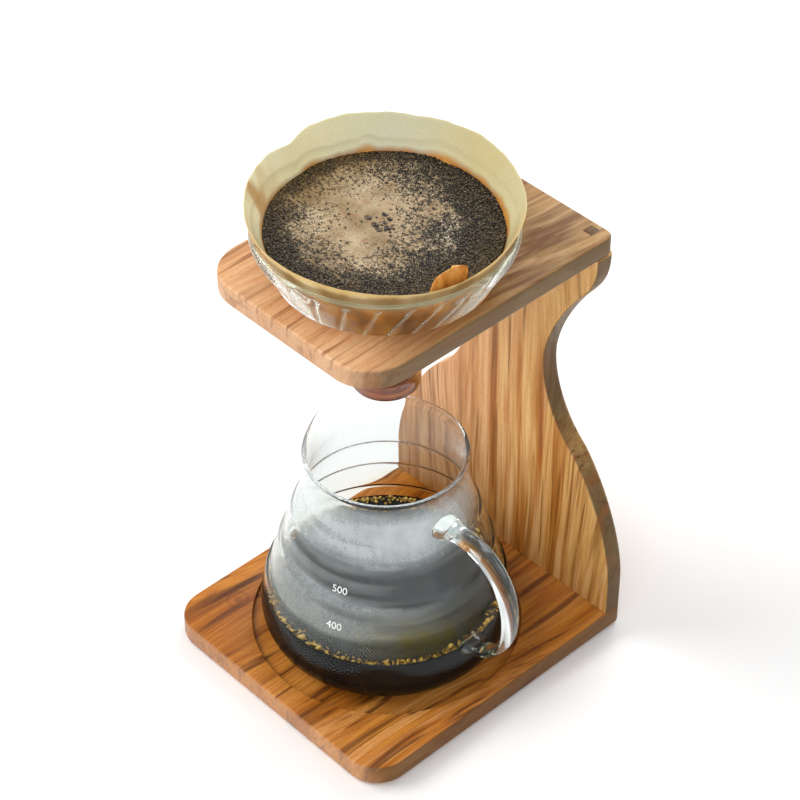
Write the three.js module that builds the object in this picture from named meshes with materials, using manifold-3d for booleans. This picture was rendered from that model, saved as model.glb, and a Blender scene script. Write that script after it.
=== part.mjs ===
// Pour over coffee stand: a wooden stand of three boards that holds a glass cone dripper over a
// glass server. Millimetres, +Z up, open side towards -Y, the upright board at +Y.
// The origin is the middle of the base board's underside.

import * as THREE from 'three';
import { mergeVertices } from 'three/addons/utils/BufferGeometryUtils.js';
import Module from 'manifold-3d';

const wasm = await Module();
wasm.setup();

// ---------------------------------------------------------------- driving dimensions

const GAP = 0.3;                  // clearance between pieces that touch

// Stand
const BASE_WIDTH = 146;
const BASE_DEPTH = 162;
const BASE_THICKNESS = 12;
const BASE_CORNER = 17;           // plan radius of the base's two front corners
const TOP_WIDTH = 107.6;
const TOP_FRONT_Y = -65.6;
const TOP_SURFACE_Z = 225.9;
const TOP_THICKNESS = 10;
const TOP_CORNER = 21;            // plan radius of the top board's two front corners
const BACK_CORNER = 3;            // plan radius of both boards' back corners
const BASE_BACK_ROUND = 6;        // round along the base's lower back edge, seen from the side
const TOP_BACK_ROUND = 2.5;       // round along the top board's upper back edge
const BACK_Y = BASE_DEPTH / 2;
const UPRIGHT_THICKNESS = 10.6;
const FOOT_TOP_Z = 30;            // the upright's sides are straight up to here
const WAIST_HALF_WIDTH = 24.3;
const WAIST_Z = 142;
const RECESS_RADIUS = 64.8;
const RECESS_DEPTH = 3;

// Joinery
const KEY_X = 44.5;
const KEY_WIDTH = 5.5;
const KEY_DEPTH = 5.8;
const KEY_FORWARD = 0.6;          // how far the keys stand forward of the upright's middle
const KEY_REACH = 8;              // how far a key goes down into the upright
const DOWEL_RADIUS = 3;
const DOWEL_X = 48;
const DOWEL_IN_BASE = 7;
const DOWEL_IN_UPRIGHT = 16;
const TOP_DOWEL_RADIUS = 2.5;
const TOP_DOWEL_IN_BOARD = 6.5;

// Brewing axis: dripper, filter and server all stand on it
const AXIS_Y = -5.8;

// Dripper: a 60 degree cone, given by its outer radius at the top board's surface
const CONE_SLOPE = Math.tan(Math.PI / 6);
const CONE_OUTER_AT_BOARD = 47.8;
const CONE_WALL = 3.4;            // wall measured along the radius
const DRIPPER_RIM_Z = 248.5;
const DRIPPER_RIM_RADIUS = 58;
const DRIPPER_BOTTOM_Z = 160;
const NECK_RADIUS = 16;
const OUTLET_RADIUS = 9.2;
const RIB_HEIGHT = 1.5;           // ribs' height along the radius
const RIB_COUNT = 24;             // long and short ribs in turn
const SHORT_RIB_FROM_RADIUS = 30;
const RIB_TURN = 0.674;           // turn in radians for each unit of ln(radius)
const CONE_SEGMENTS = 96;

// Filter paper and what it holds
const PAPER_OFFSET = 1.85;        // paper's outer face inside the glass, along the radius
const PAPER_THICKNESS = 0.7;
const PAPER_RIM_Z = 258.5;
const PAPER_TIP_Z = 160.5;
const BED_SURFACE_Z = 243;

// Server
const SERVER_FLOOR_Z = BASE_THICKNESS - RECESS_DEPTH + GAP;
const SERVER_WALL = 2;
const SERVER_SEGMENTS = 48;
const COFFEE_SURFACE_Z = 36.6;
const SPOUT_REACH = 3.5;
const SPOUT_HEIGHT = 16;          // how far below the mouth the spout starts to swell
const MOUTH_Z = 118.6;
const STRAP_WIDTH = 10.5;
const STRAP_THICKNESS = 4.5;
const HANDLE_REACH = 81.6;        // how far out the middle of the strap goes
const HANDLE_TOP = [36, 96];      // [x, z] of the strap's upper end, inside the wall
const HANDLE_BOTTOM = [55, 35.5];

// ---------------------------------------------------------------- colours

const finish = (color, roughness) => new THREE.MeshStandardMaterial({ color, roughness, metalness: 0 });
const baseWood = () => finish(0xb5743a, 0.5);
const uprightWood = () => finish(0xd0a66f, 0.5);
const topWood = () => finish(0xc39160, 0.5);
const keyWood = () => finish(0x6d5233, 0.6);
const dowelWood = () => finish(0xcdb48c, 0.7);
const clearGlass = () => finish(0xdfe8e6, 0.05);
const paper = () => finish(0xe3cf94, 0.9);
const grounds = () => finish(0x5b4a36, 0.95);
const coffee = () => finish(0x140c08, 0.1);

// ---------------------------------------------------------------- solids

const product = new THREE.Group();

function addPiece(name, geometry, material) {
  const mesh = new THREE.Mesh(geometry, material);
  mesh.name = name;
  product.add(mesh);
}

// A three.js geometry as a solid that can be joined or cut.
function toSolid(geometry) {
  const bare = geometry.clone();
  bare.deleteAttribute('normal');
  bare.deleteAttribute('uv');
  const merged = mergeVertices(bare, 1e-4);
  return new wasm.Manifold(new wasm.Mesh({
    numProp: 3,
    vertProperties: new Float32Array(merged.attributes.position.array),
    triVerts: new Uint32Array(merged.index.array),
  }));
}

function toGeometry(solid) {
  const mesh = solid.getMesh();
  const geometry = new THREE.BufferGeometry();
  geometry.setAttribute('position', new THREE.BufferAttribute(new Float32Array(mesh.vertProperties), 3));
  geometry.setIndex(new THREE.BufferAttribute(new Uint32Array(mesh.triVerts), 1));
  geometry.computeVertexNormals();
  return geometry;
}

// Turns a profile of [radius, height] points about the vertical line through (0, AXIS_Y).
// The points run up the outside and back down the inside.
function turned(points, segments) {
  const profile = points.map(([radius, height]) => new THREE.Vector2(radius, height));
  const geometry = new THREE.LatheGeometry(profile, segments);
  geometry.rotateX(Math.PI / 2);
  geometry.translate(0, AXIS_Y, 0);
  return geometry;
}

function closedLoop(points) {
  return [...points, points[0]];
}

// A flat outline in X and Y, given thickness from zLow to zHigh.
function slab(shape, zLow, zHigh, curveSegments) {
  const geometry = new THREE.ExtrudeGeometry(shape, {
    depth: zHigh - zLow,
    bevelEnabled: false,
    curveSegments,
  });
  geometry.translate(0, 0, zLow);
  return geometry;
}

function block(xMiddle, yMiddle, zLow, zHigh, width, depth) {
  const geometry = new THREE.BoxGeometry(width, depth, zHigh - zLow);
  geometry.translate(xMiddle, yMiddle, (zLow + zHigh) / 2);
  return geometry;
}

function post(x, y, zLow, zHigh, radius) {
  const geometry = new THREE.CylinderGeometry(radius, radius, zHigh - zLow, 20);
  geometry.rotateX(Math.PI / 2);
  geometry.translate(x, y, (zLow + zHigh) / 2);
  return geometry;
}

// ---------------------------------------------------------------- stand

// Plan outline of a board with wide front corners and small back corners.
function boardPlan(halfWidth, frontY, frontCorner) {
  const shape = new THREE.Shape();
  shape.moveTo(halfWidth, BACK_Y - BACK_CORNER);
  shape.absarc(halfWidth - BACK_CORNER, BACK_Y - BACK_CORNER, BACK_CORNER, 0, Math.PI / 2, false);
  shape.absarc(-halfWidth + BACK_CORNER, BACK_Y - BACK_CORNER, BACK_CORNER, Math.PI / 2, Math.PI, false);
  shape.absarc(-halfWidth + frontCorner, frontY + frontCorner, frontCorner, Math.PI, Math.PI * 1.5, false);
  shape.absarc(halfWidth - frontCorner, frontY + frontCorner, frontCorner, Math.PI * 1.5, Math.PI * 2, false);
  shape.closePath();
  return shape;
}

// What rounds a board's outer back edge: a bar along X whose side view has one round corner.
// 'low' rounds the underside's back edge, 'high' the top surface's back edge.
function backEdgeCutter(zLow, zHigh, halfWidth, edge, round) {
  const front = -BASE_DEPTH;
  const side = new THREE.Shape();
  side.moveTo(front, zLow);
  if (edge === 'low') {
    side.lineTo(BACK_Y - round, zLow);
    side.absarc(BACK_Y - round, zLow + round, round, -Math.PI / 2, 0, false);
    side.lineTo(BACK_Y, zHigh);
  } else {
    side.lineTo(BACK_Y, zLow);
    side.absarc(BACK_Y - round, zHigh - round, round, 0, Math.PI / 2, false);
  }
  side.lineTo(front, zHigh);
  side.closePath();
  const width = 2 * halfWidth + 2;
  const geometry = new THREE.ExtrudeGeometry(side, { depth: width, bevelEnabled: false, curveSegments: 8 });
  // The outline's first axis becomes Y, its second Z, and its depth X.
  geometry.applyMatrix4(new THREE.Matrix4().set(0, 0, 1, -width / 2, 1, 0, 0, 0, 0, 1, 0, 0, 0, 0, 0, 1));
  return geometry;
}

const dowelPlaces = [['left', -DOWEL_X], ['middle', 0], ['right', DOWEL_X]];
const keyPlaces = [['left', -KEY_X], ['right', KEY_X]];
const uprightMiddleY = BACK_Y - UPRIGHT_THICKNESS / 2;
const keyY = uprightMiddleY - KEY_FORWARD;
const uprightLowZ = BASE_THICKNESS + GAP;
const uprightHighZ = TOP_SURFACE_Z - TOP_THICKNESS - GAP;
const topUndersideZ = TOP_SURFACE_Z - TOP_THICKNESS;

function baseBoard() {
  const halfWidth = BASE_WIDTH / 2;
  const plan = boardPlan(halfWidth, -BASE_DEPTH / 2, BASE_CORNER);
  const recessFloor = BASE_THICKNESS - RECESS_DEPTH;
  let solid = toSolid(slab(plan, 0, BASE_THICKNESS, 10));
  solid = solid.intersect(toSolid(backEdgeCutter(0, BASE_THICKNESS + 1, halfWidth, 'low', BASE_BACK_ROUND)));
  const recess = turned([[0, recessFloor], [RECESS_RADIUS, recessFloor],
    [RECESS_RADIUS, BASE_THICKNESS + 1], [0, BASE_THICKNESS + 1]], 72);
  solid = solid.subtract(toSolid(recess));
  for (const [, x] of dowelPlaces) {
    const hole = post(x, uprightMiddleY, BASE_THICKNESS - DOWEL_IN_BASE - GAP, BASE_THICKNESS + 1,
      DOWEL_RADIUS + GAP);
    solid = solid.subtract(toSolid(hole));
  }
  return toGeometry(solid);
}

// The upright's right side above the straight foot: each row is a cubic curve's two handles and its
// end, as [x, z]. The board is drawn in to its waist and out again to the top board.
const footHalfWidth = BASE_WIDTH / 2;
const headHalfWidth = TOP_WIDTH / 2;
const uprightSide = [
  [[footHalfWidth, 56], [55.5, 88.4], [43.5, 99]],
  [[33, 108.2], [WAIST_HALF_WIDTH, 126], [WAIST_HALF_WIDTH, WAIST_Z]],
  [[WAIST_HALF_WIDTH, 158], [35.9, 178.8], [43.5, 189]],
  [[50.4, 198], [headHalfWidth, 203], [headHalfWidth, uprightHighZ]],
];

function uprightShape() {
  const shape = new THREE.Shape();
  shape.moveTo(-footHalfWidth, uprightLowZ);
  shape.lineTo(footHalfWidth, uprightLowZ);
  shape.lineTo(footHalfWidth, FOOT_TOP_Z);
  for (const [first, second, end] of uprightSide) {
    shape.bezierCurveTo(...first, ...second, ...end);
  }
  shape.lineTo(-headHalfWidth, uprightHighZ);
  // The left side is the same curves mirrored and walked back down.
  const mirrored = ([x, z]) => [-x, z];
  const ends = [[footHalfWidth, FOOT_TOP_Z], ...uprightSide.map((curve) => curve[2])];
  for (let i = uprightSide.length - 1; i >= 0; i -= 1) {
    const [first, second] = uprightSide[i];
    shape.bezierCurveTo(...mirrored(second), ...mirrored(first), ...mirrored(ends[i]));
  }
  shape.closePath();
  return shape;
}

function uprightBoard() {
  const geometry = slab(uprightShape(), 0, UPRIGHT_THICKNESS, 10);
  // Stand the outline up: its second axis becomes Z and its thickness runs from the back to the front.
  geometry.rotateX(Math.PI / 2);
  geometry.translate(0, BACK_Y, 0);
  let solid = toSolid(geometry);
  for (const [, x] of dowelPlaces) {
    const hole = post(x, uprightMiddleY, uprightLowZ - 1, uprightLowZ + DOWEL_IN_UPRIGHT + GAP,
      DOWEL_RADIUS + GAP);
    solid = solid.subtract(toSolid(hole));
  }
  for (const [, x] of keyPlaces) {
    const pocket = block(x, keyY, uprightHighZ - KEY_REACH - GAP, uprightHighZ + 1,
      KEY_WIDTH + 2 * GAP, KEY_DEPTH + 2 * GAP);
    solid = solid.subtract(toSolid(pocket));
  }
  const topHole = post(0, uprightMiddleY, uprightHighZ - DOWEL_IN_UPRIGHT - GAP, uprightHighZ + 1,
    TOP_DOWEL_RADIUS + GAP);
  return toGeometry(solid.subtract(toSolid(topHole)));
}

function topBoard() {
  const halfWidth = TOP_WIDTH / 2;
  const plan = boardPlan(halfWidth, TOP_FRONT_Y, TOP_CORNER);
  const above = TOP_SURFACE_Z + 1;
  const below = topUndersideZ - 1;
  let solid = toSolid(slab(plan, topUndersideZ, TOP_SURFACE_Z, 10));
  solid = solid.intersect(toSolid(backEdgeCutter(below, TOP_SURFACE_Z, halfWidth, 'high', TOP_BACK_ROUND)));
  const seatRadius = CONE_OUTER_AT_BOARD + GAP;
  const seat = turned([[0, below], [seatRadius, below], [seatRadius, above], [0, above]], 72);
  solid = solid.subtract(toSolid(seat));
  for (const [, x] of keyPlaces) {
    const slot = block(x, keyY, below, above, KEY_WIDTH + 2 * GAP, KEY_DEPTH + 2 * GAP);
    solid = solid.subtract(toSolid(slot));
  }
  const hole = post(0, uprightMiddleY, below, topUndersideZ + TOP_DOWEL_IN_BOARD + GAP,
    TOP_DOWEL_RADIUS + GAP);
  return toGeometry(solid.subtract(toSolid(hole)));
}

addPiece('base_board', baseBoard(), baseWood());
addPiece('upright_board', uprightBoard(), uprightWood());
addPiece('top_board', topBoard(), topWood());
for (const [side, x] of keyPlaces) {
  const key = block(x, keyY, uprightHighZ - KEY_REACH, TOP_SURFACE_Z, KEY_WIDTH, KEY_DEPTH);
  addPiece(`top_key_${side}`, key, keyWood());
}
for (const [side, x] of dowelPlaces) {
  const dowel = post(x, uprightMiddleY, BASE_THICKNESS - DOWEL_IN_BASE, uprightLowZ + DOWEL_IN_UPRIGHT,
    DOWEL_RADIUS);
  addPiece(`base_dowel_${side}`, dowel, dowelWood());
}
addPiece('top_dowel', post(0, uprightMiddleY, uprightHighZ - DOWEL_IN_UPRIGHT,
  topUndersideZ + TOP_DOWEL_IN_BOARD, TOP_DOWEL_RADIUS), dowelWood());

// ---------------------------------------------------------------- dripper

const coneOuter = (z) => CONE_OUTER_AT_BOARD + CONE_SLOPE * (z - TOP_SURFACE_Z);
const coneInner = (z) => coneOuter(z) - CONE_WALL;
const coneOuterHeight = (radius) => TOP_SURFACE_Z + (radius - CONE_OUTER_AT_BOARD) / CONE_SLOPE;
const coneInnerHeight = (radius) => coneOuterHeight(radius + CONE_WALL);

// The cone with its rolled rim and thick neck. The inner face is made in rings, from the rim down.
function dripperProfile() {
  const rimRound = 0.7;
  const lipFoot = 243.4;          // height where the rim's upright band starts
  const ribRings = 7;
  const outside = [
    [OUTLET_RADIUS, DRIPPER_BOTTOM_Z + 0.8],
    [OUTLET_RADIUS + 1, DRIPPER_BOTTOM_Z],
    [NECK_RADIUS - 1.6, DRIPPER_BOTTOM_Z],
    [NECK_RADIUS, DRIPPER_BOTTOM_Z + 1.6],
    [NECK_RADIUS, coneOuterHeight(NECK_RADIUS)],
    [coneOuter(lipFoot - 0.3), lipFoot - 0.3],
    [DRIPPER_RIM_RADIUS, lipFoot + 0.9],
    [DRIPPER_RIM_RADIUS, DRIPPER_RIM_Z - rimRound],
    [DRIPPER_RIM_RADIUS - rimRound, DRIPPER_RIM_Z],
  ];
  const inside = [[56.2, DRIPPER_RIM_Z], [55.6, DRIPPER_RIM_Z - rimRound]];
  const lowRing = coneInnerHeight(OUTLET_RADIUS);
  for (let ring = 0; ring <= ribRings; ring += 1) {
    const z = lipFoot + (lowRing - lipFoot) * ring / ribRings;
    inside.push([coneInner(z), z]);
  }
  return closedLoop([...outside, ...inside]);
}

// Raises the spiral ribs: each vertex of the inner cone turns with its height, and every fourth
// line of vertices stands in from the wall.
function raiseRibs(geometry) {
  const position = geometry.attributes.position;
  const lineStep = 2 * Math.PI / CONE_SEGMENTS;
  const linesPerRib = CONE_SEGMENTS / RIB_COUNT;
  const ribTopRadius = coneInner(243);
  for (let i = 0; i < position.count; i += 1) {
    const x = position.getX(i);
    const y = position.getY(i) - AXIS_Y;
    const z = position.getZ(i);
    const radius = Math.hypot(x, y);
    const onInnerCone = Math.abs(radius - coneInner(z)) < 0.01 && z > DRIPPER_BOTTOM_Z + 2;
    if (!onInnerCone) {
      continue;
    }
    const angle = Math.atan2(y, x);
    const line = Math.round(angle / lineStep + CONE_SEGMENTS) % CONE_SEGMENTS;
    const isLong = line % (2 * linesPerRib) === 0;
    const isShort = line % (2 * linesPerRib) === linesPerRib;
    const inSpan = radius > OUTLET_RADIUS + 1 && radius < ribTopRadius;
    const isRib = inSpan && (isLong || (isShort && radius > SHORT_RIB_FROM_RADIUS));
    const turnedAngle = angle + RIB_TURN * Math.log(radius / ribTopRadius);
    const newRadius = radius - (isRib ? RIB_HEIGHT : 0);
    position.setXYZ(i, newRadius * Math.cos(turnedAngle), AXIS_Y + newRadius * Math.sin(turnedAngle), z);
  }
  return geometry;
}

addPiece('glass_dripper', raiseRibs(turned(dripperProfile(), CONE_SEGMENTS)), clearGlass());

// ---------------------------------------------------------------- filter and grounds

const paperOuter = (z) => coneInner(z) - PAPER_OFFSET;
const paperInner = (z) => paperOuter(z) - PAPER_THICKNESS;
const bedOuter = (z) => paperInner(z) - GAP;

function paperFilter() {
  const tipFloor = PAPER_TIP_Z + PAPER_THICKNESS;
  return turned([[0, PAPER_TIP_Z], [paperOuter(PAPER_TIP_Z), PAPER_TIP_Z],
    [paperOuter(PAPER_RIM_Z), PAPER_RIM_Z], [paperInner(PAPER_RIM_Z), PAPER_RIM_Z],
    [paperInner(tipFloor), tipFloor], [0, tipFloor]], 60);
}

function coffeeBed() {
  const low = PAPER_TIP_Z + PAPER_THICKNESS + GAP;
  const edge = BED_SURFACE_Z + 1.2;
  return turned([[0, low], [bedOuter(low), low], [bedOuter(edge), edge],
    [bedOuter(edge) - 4, edge - 0.4], [bedOuter(edge) - 9, BED_SURFACE_Z], [0, BED_SURFACE_Z - 0.6]], 48);
}

addPiece('paper_filter', paperFilter(), paper());
addPiece('coffee_bed', coffeeBed(), grounds());

// ---------------------------------------------------------------- server

// Outer face of the server from the foot up, as [radius, height]. Three small shoulders step the
// wall in, and the neck flares to the mouth.
const serverFace = [
  [47, SERVER_FLOOR_Z], [52.4, SERVER_FLOOR_Z + 1.6], [56.8, SERVER_FLOOR_Z + 5.4],
  [59.4, SERVER_FLOOR_Z + 11], [60.1, 27.4], [59.3, 35], [57.1, 44.2], [55.7, 45.6],
  [53.6, 54], [50.7, 64.2], [49.3, 65.6], [47, 75], [44.3, 84.2], [43, 85.6], [40.6, 93],
  [38.4, 101], [37.5, 108.5], [38, 115],
];

function serverBody() {
  const outside = [...serverFace, [38.7, MOUTH_Z - 0.6], [38.4, MOUTH_Z]];
  const inside = serverFace.slice(1).reverse().map(([radius, z]) => {
    const nearFloor = z < SERVER_FLOOR_Z + SERVER_WALL + 1;
    return [radius - SERVER_WALL, nearFloor ? SERVER_FLOOR_Z + SERVER_WALL + 0.6 : z];
  });
  const mouth = [[37, MOUTH_Z], [36.6, MOUTH_Z - 0.6]];
  const floor = SERVER_FLOOR_Z + SERVER_WALL;
  return turned([[0, SERVER_FLOOR_Z], ...outside, ...mouth, ...inside, [46, floor], [0, floor]],
    SERVER_SEGMENTS);
}

// The pouring lip swells out of the mouth on the side away from the handle.
function drawSpout(geometry) {
  const position = geometry.attributes.position;
  const halfSpread = 0.42;
  for (let i = 0; i < position.count; i += 1) {
    const x = position.getX(i);
    const y = position.getY(i) - AXIS_Y;
    const away = Math.abs(Math.PI - Math.abs(Math.atan2(y, x)));
    const rise = (position.getZ(i) - (MOUTH_Z - SPOUT_HEIGHT)) / SPOUT_HEIGHT;
    if (away > 2 * halfSpread || rise <= 0) {
      continue;
    }
    const swell = SPOUT_REACH * Math.exp(-((away / halfSpread) ** 2) * 2) * rise * rise;
    position.setX(i, x - swell);
  }
  return geometry;
}

// A flat glass strap that leaves the shoulder, loops out and comes back above the foot.
function serverHandle() {
  const strap = new THREE.CurvePath();
  const at = (x, z) => new THREE.Vector3(x, AXIS_Y, z);
  const top = at(...HANDLE_TOP);
  const widest = at(HANDLE_REACH, 66);
  const bottom = at(...HANDLE_BOTTOM);
  strap.add(new THREE.CubicBezierCurve3(top, at(68, 105), at(HANDLE_REACH, 86), widest));
  strap.add(new THREE.CubicBezierCurve3(widest, at(HANDLE_REACH, 50), at(74, 36.5), bottom));

  const section = new THREE.Shape();
  section.absellipse(0, 0, STRAP_WIDTH / 2, STRAP_THICKNESS / 2, 0, Math.PI * 2, false, 0);
  const loop = new THREE.ExtrudeGeometry(section, { steps: 22, curveSegments: 5, extrudePath: strap });

  const pad = (x, z, reach, width, height) => {
    const blob = new THREE.SphereGeometry(1, 12, 8);
    blob.scale(reach, width, height);
    blob.translate(x, AXIS_Y, z);
    return toSolid(blob);
  };
  let solid = toSolid(loop).add(pad(41, 97, 5, 7.2, 5)).add(pad(59, 35.5, 5, 7.5, 5));

  const clearFace = serverFace.map(([radius, z]) => [radius + GAP, z]);
  const bodyCutter = turned([[0, SERVER_FLOOR_Z], ...clearFace, [39, MOUTH_Z + 2], [0, MOUTH_Z + 2]],
    SERVER_SEGMENTS);
  solid = solid.subtract(toSolid(bodyCutter));
  return toGeometry(solid);
}

function brewedCoffee() {
  const inset = SERVER_WALL + GAP;
  const low = SERVER_FLOOR_Z + inset;
  const wetted = serverFace.filter(([, z]) => z > low + 2 && z < COFFEE_SURFACE_Z - 1);
  const side = wetted.map(([radius, z]) => [radius - inset, z]);
  return turned([[0, low], [45.5, low], [50, low + 1.2], ...side,
    [58.9 - inset, COFFEE_SURFACE_Z], [0, COFFEE_SURFACE_Z]], 48);
}

addPiece('server_glass', drawSpout(serverBody()), clearGlass());
addPiece('server_handle', serverHandle(), clearGlass());
addPiece('brewed_coffee', brewedCoffee(), coffee());

export default product;
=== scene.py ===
import math
import random

import bmesh
import bpy
import numpy as np
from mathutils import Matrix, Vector, noise


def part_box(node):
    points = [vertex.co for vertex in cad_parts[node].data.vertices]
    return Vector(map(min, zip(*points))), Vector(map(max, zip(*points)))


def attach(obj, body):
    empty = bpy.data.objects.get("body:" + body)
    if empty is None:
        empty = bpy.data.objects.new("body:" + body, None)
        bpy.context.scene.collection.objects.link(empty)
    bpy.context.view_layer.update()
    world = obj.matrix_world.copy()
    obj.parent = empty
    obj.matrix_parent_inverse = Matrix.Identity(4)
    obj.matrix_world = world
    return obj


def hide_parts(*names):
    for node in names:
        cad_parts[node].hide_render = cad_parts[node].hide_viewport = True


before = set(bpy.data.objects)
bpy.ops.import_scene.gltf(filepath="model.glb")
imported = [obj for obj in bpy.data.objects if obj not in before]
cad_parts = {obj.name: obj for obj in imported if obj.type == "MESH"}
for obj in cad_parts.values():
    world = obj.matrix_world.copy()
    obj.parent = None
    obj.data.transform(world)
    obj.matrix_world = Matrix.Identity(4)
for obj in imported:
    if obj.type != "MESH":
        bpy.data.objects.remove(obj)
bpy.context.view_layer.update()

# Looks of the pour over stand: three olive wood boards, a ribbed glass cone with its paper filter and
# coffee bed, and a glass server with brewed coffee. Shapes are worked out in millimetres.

MM = 0.001
TAU = 2 * math.pi


def box_mm(node):
    """A CAD node's lowest and highest corners in millimetres."""
    low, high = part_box(node)
    return np.array(low) / MM, np.array(high) / MM


BASE_LOW, BASE_HIGH = box_mm("base_board")
TOP_LOW, TOP_HIGH = box_mm("top_board")
UPRIGHT_LOW, UPRIGHT_HIGH = box_mm("upright_board")
DRIPPER_LOW, DRIPPER_HIGH = box_mm("glass_dripper")
PAPER_LOW, PAPER_HIGH = box_mm("paper_filter")
BED_LOW, BED_HIGH = box_mm("coffee_bed")
SERVER_LOW, SERVER_HIGH = box_mm("server_glass")
HANDLE_LOW, HANDLE_HIGH = box_mm("server_handle")
COFFEE_HIGH = box_mm("brewed_coffee")[1]

AXIS_Y = (DRIPPER_LOW[1] + DRIPPER_HIGH[1]) / 2
BOARD_TOP_Z = TOP_HIGH[2]


# ---------------------------------------------------------------- meshes

def finish_mesh(name, vertices, faces, materials, face_materials=None, sharp_angle=35):
    """A new object from millimetre vertices, with outward normals and smooth shading."""
    mesh = bpy.data.meshes.new(name)
    mesh.from_pydata((np.asarray(vertices, float) * MM).tolist(), [], faces)
    for material in materials:
        mesh.materials.append(material)
    if face_materials is not None:
        mesh.polygons.foreach_set("material_index", face_materials)
    work = bmesh.new()
    work.from_mesh(mesh)
    bmesh.ops.recalc_face_normals(work, faces=work.faces)
    work.to_mesh(mesh)
    work.free()
    mesh.polygons.foreach_set("use_smooth", [True] * len(mesh.polygons))
    mesh.set_sharp_from_angle(angle=math.radians(sharp_angle))
    piece = bpy.data.objects.new(name, mesh)
    bpy.context.scene.collection.objects.link(piece)
    return piece


def loft(rings, loop=False):
    """Vertices and faces of rings joined in turn. An open stack is closed by a cap at each end."""
    count = len(rings[0])
    vertices = np.concatenate(rings)
    faces = []
    steps = len(rings) if loop else len(rings) - 1
    for level in range(steps):
        low = level * count
        high = ((level + 1) % len(rings)) * count
        for i in range(count):
            j = (i + 1) % count
            faces.append((low + i, low + j, high + j, high + i))
    if not loop:
        faces.append(tuple(range(count))[::-1])
        top = (len(rings) - 1) * count
        faces.append(tuple(range(top, top + count)))
    return vertices, faces


def lofted(name, rings, material, loop=False, sharp_angle=35):
    """A new object of one material, lofted through rings."""
    vertices, faces = loft(rings, loop)
    return finish_mesh(name, vertices, faces, [material], sharp_angle=sharp_angle)


def circle(radius, height, count, turn=0.0):
    """A ring about the brewing axis. The radius and height may differ from point to point."""
    angles = turn + np.arange(count) * TAU / count
    across = AXIS_Y + radius * np.sin(angles)
    return np.column_stack([radius * np.cos(angles), across, np.zeros(count) + height])


def rounded(points, passes=2):
    """Cuts a profile's corners, so that its straight steps run into each other."""
    line = np.array(points, float)
    for _ in range(passes):
        before = 0.75 * line[:-1] + 0.25 * line[1:]
        after = 0.25 * line[:-1] + 0.75 * line[1:]
        cut = np.empty((2 * len(before), 2))
        cut[0::2] = before
        cut[1::2] = after
        line = np.vstack([line[:1], cut, line[-1:]])
    return line


def bump_at(value, middle, width):
    """A smooth bump of height 1."""
    return np.exp(-((value - middle) / width) ** 2)


def angle_between(angle, middle):
    """The signed turn from middle to angle."""
    return (angle - middle + math.pi) % TAU - math.pi


def place(piece, body, slot, *nodes):
    """Puts a piece on its CAD body and hides the CAD nodes it stands for. slot is not used."""
    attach(piece, body)
    if nodes:
        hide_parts(*nodes)


# ---------------------------------------------------------------- materials

def paint(red, green, blue):
    """A colour given as 0 to 255 on screen, as the linear colour that a shader takes."""
    linear = []
    for part in (red, green, blue):
        share = part / 255
        linear.append(share / 12.92 if share <= 0.04045 else ((share + 0.055) / 1.055) ** 2.4)
    return (*linear, 1.0)


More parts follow.
